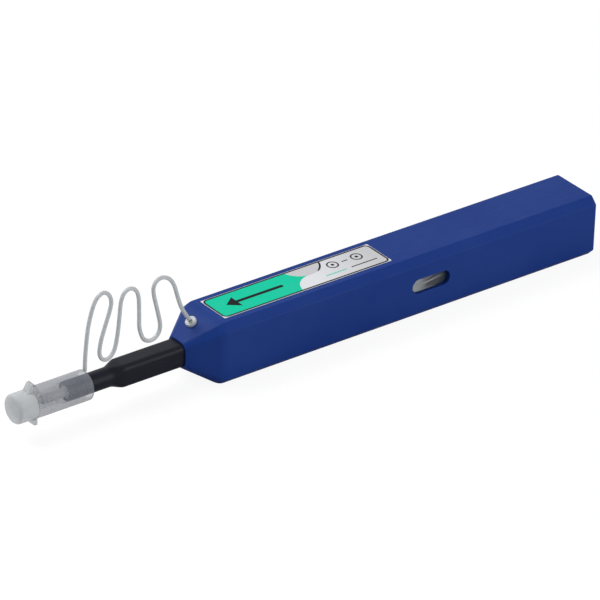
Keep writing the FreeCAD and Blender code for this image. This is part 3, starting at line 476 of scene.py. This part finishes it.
dress(pinSteel, "take_up_pin", "supply_pin", "guide_pin", "cam_pin")
dress(steel("tubeSteel", srgb(198, 200, 204), (0.05, 1, 1), 0.2), "drive_tube")
dress(threadFibre(), "cleaning_thread", "take_up_winding", "supply_winding")
makeLabel(labelFilm())
print("finishes on", len(bpy.data.materials), "materials")


# Strap: one moulded line from the cap to the case, in three lengths split at its first and last crests

strapShape = {
    "diameter": 1.1, "sides": 24, "smoothness": 16, "step": 0.14,
    "caseLength": 123.0, "axisHeight": 8.85, "drift": 0.8, "driftFrom": -16.0, "driftTo": -3.4,
    # corners of its line: x from the front edge of the straight case, height above the nozzle axis
    "lay": (
        (-37.3, 4.1), (-37.3, 7.5), (-37.0, 11.5), (-36.7, 14.7), (-36.2, 17.8), (-35.4, 20.8),
        (-34.5, 23.1), (-33.3, 24.5), (-31.6, 25.0), (-30.0, 23.7), (-29.3, 21.6), (-29.6, 19.7),
        (-30.5, 17.0), (-31.4, 14.4), (-32.3, 11.7), (-32.8, 9.2), (-32.9, 7.4), (-32.2, 5.8),
        (-30.7, 5.0), (-29.1, 5.7), (-28.0, 7.5), (-27.5, 10.0), (-27.1, 12.8), (-26.8, 16.0),
        (-26.6, 18.8), (-26.3, 21.2), (-25.3, 23.0), (-23.6, 23.6), (-21.9, 22.7), (-20.9, 20.6),
        (-20.7, 17.6), (-20.6, 14.0), (-20.6, 11.4), (-20.0, 9.2), (-19.2, 7.3), (-17.6, 6.3),
        (-15.9, 6.3), (-14.4, 7.3), (-13.8, 9.0), (-14.0, 10.9), (-14.7, 13.7), (-15.6, 17.0),
        (-16.2, 19.4), (-16.4, 21.2), (-15.7, 22.9), (-14.1, 23.5), (-12.4, 23.1), (-10.7, 21.9),
        (-9.4, 19.7), (-8.6, 17.1), (-7.7, 14.3), (-6.8, 12.1), (-5.5, 10.0), (-4.3, 8.1),
    ),
}


def strapLine():
    # smooth line through the lay, as points in the part's own frame
    look = strapShape
    curve = bpy.data.curves.new("strapLine", "CURVE")
    curve.dimensions = "3D"
    spline = curve.splines.new("NURBS")
    spline.points.add(len(look["lay"]) - 1)
    for point, (x, z) in zip(spline.points, look["lay"]):
        share = min(1.0, max(0.0, (x - look["driftFrom"]) / (look["driftTo"] - look["driftFrom"])))
        here = Vector((x - look["caseLength"] / 2, look["drift"] * share, z + look["axisHeight"])) * mm
        point.co = (*here, 1.0)
    spline.order_u = 3
    spline.use_endpoint_u = True
    spline.resolution_u = look["smoothness"]
    holder = bpy.data.objects.new("strapLine", curve)
    scene.collection.objects.link(holder)
    drawn = bpy.data.meshes.new_from_object(holder.evaluated_get(bpy.context.evaluated_depsgraph_get()))
    points = []
    for vertex in drawn.vertices:
        if not points or (vertex.co - points[-1]).length > look["step"] * mm:
            points.append(vertex.co.copy())
    bpy.data.objects.remove(holder)
    return points


def newTree(name, inputs, output):
    tree = bpy.data.node_groups.new(name, "GeometryNodeTree")
    sockets = {}
    for label, kind in inputs:
        sockets[label] = tree.interface.new_socket(label, in_out="INPUT", socket_type="NodeSocket" + kind)
    tree.interface.new_socket(output, in_out="OUTPUT", socket_type="NodeSocketGeometry")
    return tree, sockets


def sweepRound(tree, given, line, radius, output):
    # round section along a line, with closed ends, as one smooth mesh in its finish
    circle = tree.nodes.new("GeometryNodeCurvePrimitiveCircle")
    sweep = tree.nodes.new("GeometryNodeCurveToMesh")
    sweep.inputs["Fill Caps"].default_value = True
    smooth = tree.nodes.new("GeometryNodeSetShadeSmooth")
    realize = tree.nodes.new("GeometryNodeRealizeInstances")
    finish = tree.nodes.new("GeometryNodeSetMaterial")
    done = tree.nodes.new("NodeGroupOutput")
    link = tree.links.new
    link(radius, circle.inputs["Radius"])
    link(given.outputs["Sides"], circle.inputs["Resolution"])
    link(line, sweep.inputs["Curve"])
    link(circle.outputs["Curve"], sweep.inputs["Profile Curve"])
    link(sweep.outputs["Mesh"], smooth.inputs["Geometry"])
    link(smooth.outputs["Geometry"], realize.inputs["Geometry"])
    link(realize.outputs["Geometry"], finish.inputs["Geometry"])
    link(given.outputs["Finish"], finish.inputs["Material"])
    link(finish.outputs["Geometry"], done.inputs[output])


def roundTree():
    # curve in, closed round rod out
    inputs = (("Line", "Geometry"), ("Radius", "Float"), ("Sides", "Int"), ("Finish", "Material"))
    tree, sockets = newTree("roundStrap", inputs, "Rod")
    given = tree.nodes.new("NodeGroupInput")
    sweepRound(tree, given, given.outputs["Line"], given.outputs["Radius"], "Rod")
    return tree, sockets


def coilTree():
    # wound wire along X from its start point
    inputs = (
        ("Start", "Vector"), ("Length", "Float"), ("Turns", "Float"), ("Coil Radius", "Float"),
        ("Wire Radius", "Float"), ("Sides", "Int"), ("Finish", "Material"),
    )
    tree, sockets = newTree("springCoil", inputs, "Spring")
    given = tree.nodes.new("NodeGroupInput")
    spiral = tree.nodes.new("GeometryNodeCurveSpiral")
    spiral.inputs["Resolution"].default_value = 40
    lay = tree.nodes.new("GeometryNodeTransform")
    lay.inputs["Rotation"].default_value = (0, math.pi / 2, 0)
    link = tree.links.new
    link(given.outputs["Turns"], spiral.inputs["Rotations"])
    link(given.outputs["Coil Radius"], spiral.inputs["Start Radius"])
    link(given.outputs["Coil Radius"], spiral.inputs["End Radius"])
    link(given.outputs["Length"], spiral.inputs["Height"])
    link(spiral.outputs["Curve"], lay.inputs["Geometry"])
    link(given.outputs["Start"], lay.inputs["Translation"])
    sweepRound(tree, given, lay.outputs["Geometry"], given.outputs["Wire Radius"], "Spring")
    return tree, sockets


def grow(name, made, values, line=()):
    # run the tree once and keep the result as a plain mesh
    tree, sockets = made
    if line:
        start = bpy.data.curves.new(name + "Line", "CURVE")
        start.dimensions = "3D"
        spline = start.splines.new("POLY")
        spline.points.add(len(line) - 1)
        for point, here in zip(spline.points, line):
            point.co = (*here, 1.0)
    else:
        start = bpy.data.meshes.new(name + "Start")
    holder = bpy.data.objects.new(name + "Line", start)
    scene.collection.objects.link(holder)
    maker = holder.modifiers.new("maker", "NODES")
    maker.node_group = tree
    for label, value in values.items():
        maker[sockets[label].identifier] = value
    mesh = bpy.data.meshes.new_from_object(holder.evaluated_get(bpy.context.evaluated_depsgraph_get()))
    mesh.name = name
    bpy.data.objects.remove(holder)
    piece = bpy.data.objects.new(name, mesh)
    scene.collection.objects.link(piece)
    if not mesh.materials:
        mesh.materials.append(values["Finish"])
    return piece


def makeStrap():
    look = strapShape
    line = strapLine()
    crests = []
    for i in range(1, len(line) - 1):
        if line[i - 1].z < line[i].z >= line[i + 1].z:
            crests.append(i)
    first, last = crests[0], crests[-1]
    made = roundTree()
    values = {"Radius": look["diameter"] / 2 * mm, "Sides": look["sides"], "Finish": softClear}
    lengths = {
        "strapCapRun": line[:first + 1], "strapMiddle": line[first:last + 1], "strapCaseRun": line[last:],
    }
    strap = {}
    for name, points in lengths.items():
        strap[name] = grow(name, made, values, points)
        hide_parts("tether")
    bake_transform(strap["strapCapRun"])
    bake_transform(strap["strapMiddle"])
    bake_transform(strap["strapCaseRun"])
    print("strap in three lengths, crests at", [round(line[i].x / mm, 1) for i in crests])


makeStrap()


# Springs drawn as wound coils the length of their parts, each carried by its body

springs = {
    "main_spring": {
        "piece": "mainSpringCoil", "body": "frame", "joint": "push_stroke", "travel": 6.5,
        "radius": 2.35, "wire": 0.55, "turns": 9.0, "fixedEnd": "high",
    },
    "head_spring": {
        "piece": "headSpringCoil", "body": "drive_shaft", "joint": "tip_press", "travel": 0.8,
        "radius": 1.15, "wire": 0.3, "turns": 5.0, "fixedEnd": "high",
    },
}


def makeSprings():
    made = coilTree()
    for node, look in springs.items():
        low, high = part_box(node)
        wire = look["wire"] * mm
        middle = (low + high) / 2
        length = high.x - low.x
        values = {
            "Start": (low.x + wire / 2, middle.y, middle.z), "Length": length - wire, "Turns": look["turns"],
            "Coil Radius": look["radius"] * mm, "Wire Radius": wire / 2, "Sides": 12, "Finish": springWire,
        }
        piece = grow(look["piece"], made, values)
        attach(piece, look["body"])
        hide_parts(node)
        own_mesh(piece)
        print(look["piece"], "length", round(length / mm, 2), "mm")


makeSprings()


# Thread and leaf copied as pieces of their own, not bent with their joint
# The leaf does not give way: at full press it still cuts into the button.

givingPieces = {
    # node: piece, slot, two bodies, axis between their ends and its sense, node whose box gives both ends
    "cleaning_thread": ("threadRun", "thread_fibre", "nozzle_carriage", "frame", "x", 1, "main_spring"),
    "lock_leaf": ("leafSpring", "spring_steel", "lock", "case", "y", -1, "lock_leaf"),
}


def makeGiving():
    for node, (name, slot, first, second, axis, way, between) in givingPieces.items():
        mesh = nodes[node].data.copy()
        mesh.name = name
        piece = bpy.data.objects.new(name, mesh)
        scene.collection.objects.link(piece)
        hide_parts(node)
        low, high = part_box(between)
        ends = [Vector((0, 0, 0)), Vector((0, 0, 0))]
        for end, corner in zip(ends, (low, high)[::way]):
            setattr(end, axis, getattr(corner, axis))
        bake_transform(piece)
        print(name, "bends between", first, "and", second)


makeGiving()


# Floor, light and camera

setting = {
    "floorColour": (0.82, 0.82, 0.82, 1.0), "floorShadow": (0.12, 0.12, 0.12, 1.0), "floorRough": 0.9,
    "floorLift": 0.91, "floorGap": 0.1, "floorHalf": 1.5, "fill": 0.26,
    # name: place, side of the soft box, watts
    "lamps": {"keyBox": ((-0.36, 0.38, 0.72), 0.5, 6.0), "sideBox": ((0.34, -0.72, 0.33), 0.5, 3.3)},
    "turn": -38.34, "rise": 29.31, "roll": 1.97, "distance": 1.4978,
    "aim": (-0.0306, 0.0, 0.0117), "lens": 348.3, "sensor": 36.0,
}


def makeFloor():
    side = setting["floorHalf"]
    mesh = bpy.data.meshes.new("floor")
    drop = -setting["floorGap"] * mm
    corners = [(-side, -side, drop), (side, -side, drop), (side, side, drop), (-side, side, drop)]
    mesh.from_pydata(corners, [], [(0, 1, 2, 3)])
    floor = bpy.data.objects.new("floor", mesh)
    scene.collection.objects.link(floor)
    material, tree, shader = newMaterial("paleFloor")
    shader.inputs["Base Color"].default_value = setting["floorColour"]
    shader.inputs["Roughness"].default_value = setting["floorRough"]
    shader.inputs["Specular IOR Level"].default_value = 0.0
    shaded = tree.nodes.new("ShaderNodeBsdfDiffuse")
    shaded.inputs["Color"].default_value = setting["floorShadow"]
    rays = tree.nodes.new("ShaderNodeLightPath")
    lifted = tree.nodes.new("ShaderNodeEmission")
    lifted.inputs["Strength"].default_value = setting["floorLift"]
    total = tree.nodes.new("ShaderNodeAddShader")
    choice = tree.nodes.new("ShaderNodeMixShader")
    tree.links.new(shaded.outputs[0], total.inputs[0])
    tree.links.new(lifted.outputs[0], total.inputs[1])
    tree.links.new(rays.outputs["Is Camera Ray"], choice.inputs[0])
    tree.links.new(shader.outputs[0], choice.inputs[1])
    tree.links.new(total.outputs[0], choice.inputs[2])
    # nothing is seen of the floor from below, so the base stays in view
    below = tree.nodes.new("ShaderNodeNewGeometry")
    clear = tree.nodes.new("ShaderNodeBsdfTransparent")
    cutaway = tree.nodes.new("ShaderNodeMixShader")
    tree.links.new(below.outputs["Backfacing"], cutaway.inputs[0])
    tree.links.new(choice.outputs[0], cutaway.inputs[1])
    tree.links.new(clear.outputs[0], cutaway.inputs[2])
    tree.links.new(cutaway.outputs[0], tree.nodes["Material Output"].inputs["Surface"])
    mesh.materials.append(material)


def makeSky():
    world = bpy.data.worlds.new("studio")
    scene.world = world
    world.use_nodes = True
    tree = world.node_tree
    background = tree.nodes["Background"]
    rays = tree.nodes.new("ShaderNodeLightPath")
    seen = calc(tree, "MAXIMUM", rays.outputs["Is Camera Ray"], rays.outputs["Is Glossy Ray"])
    seen = calc(tree, "MAXIMUM", seen, rays.outputs["Is Transmission Ray"])
    feed(tree, background.inputs["Strength"], ramp(tree, seen, 0, 1, setting["fill"], 1.0))
    background.inputs["Color"].default_value = (1, 1, 1, 1)


def makeLamps():
    for name, (spot, side, watts) in setting["lamps"].items():
        lamp = bpy.data.lights.new(name, "AREA")
        lamp.shape = "SQUARE"
        lamp.size = side
        lamp.energy = watts
        holder = bpy.data.objects.new(name, lamp)
        holder.location = spot
        holder.rotation_euler = (Vector(setting["aim"]) - Vector(spot)).to_track_quat("-Z", "Y").to_euler()
        scene.collection.objects.link(holder)


def makeCamera():
    turn = math.radians(setting["turn"])
    rise = math.radians(setting["rise"])
    roll = math.radians(setting["roll"])
    back = Vector((math.sin(turn) * math.cos(rise), -math.cos(turn) * math.cos(rise), math.sin(rise)))
    level = Vector((0, 0, 1)).cross(back).normalized()
    upright = back.cross(level)
    right = level * math.cos(roll) + upright * math.sin(roll)
    above = upright * math.cos(roll) - level * math.sin(roll)
    camera = bpy.data.cameras.new("camera")
    camera.lens = setting["lens"]
    camera.sensor_width = setting["sensor"]
    camera.clip_end = 10
    holder = bpy.data.objects.new("camera", camera)
    axes = Matrix((right, above, back)).transposed().to_4x4()
    holder.matrix_world = Matrix.Translation(Vector(setting["aim"]) + back * setting["distance"]) @ axes
    scene.collection.objects.link(holder)
    scene.camera = holder


makeFloor()
makeSky()
makeLamps()
makeCamera()
print("floor, light and camera set")
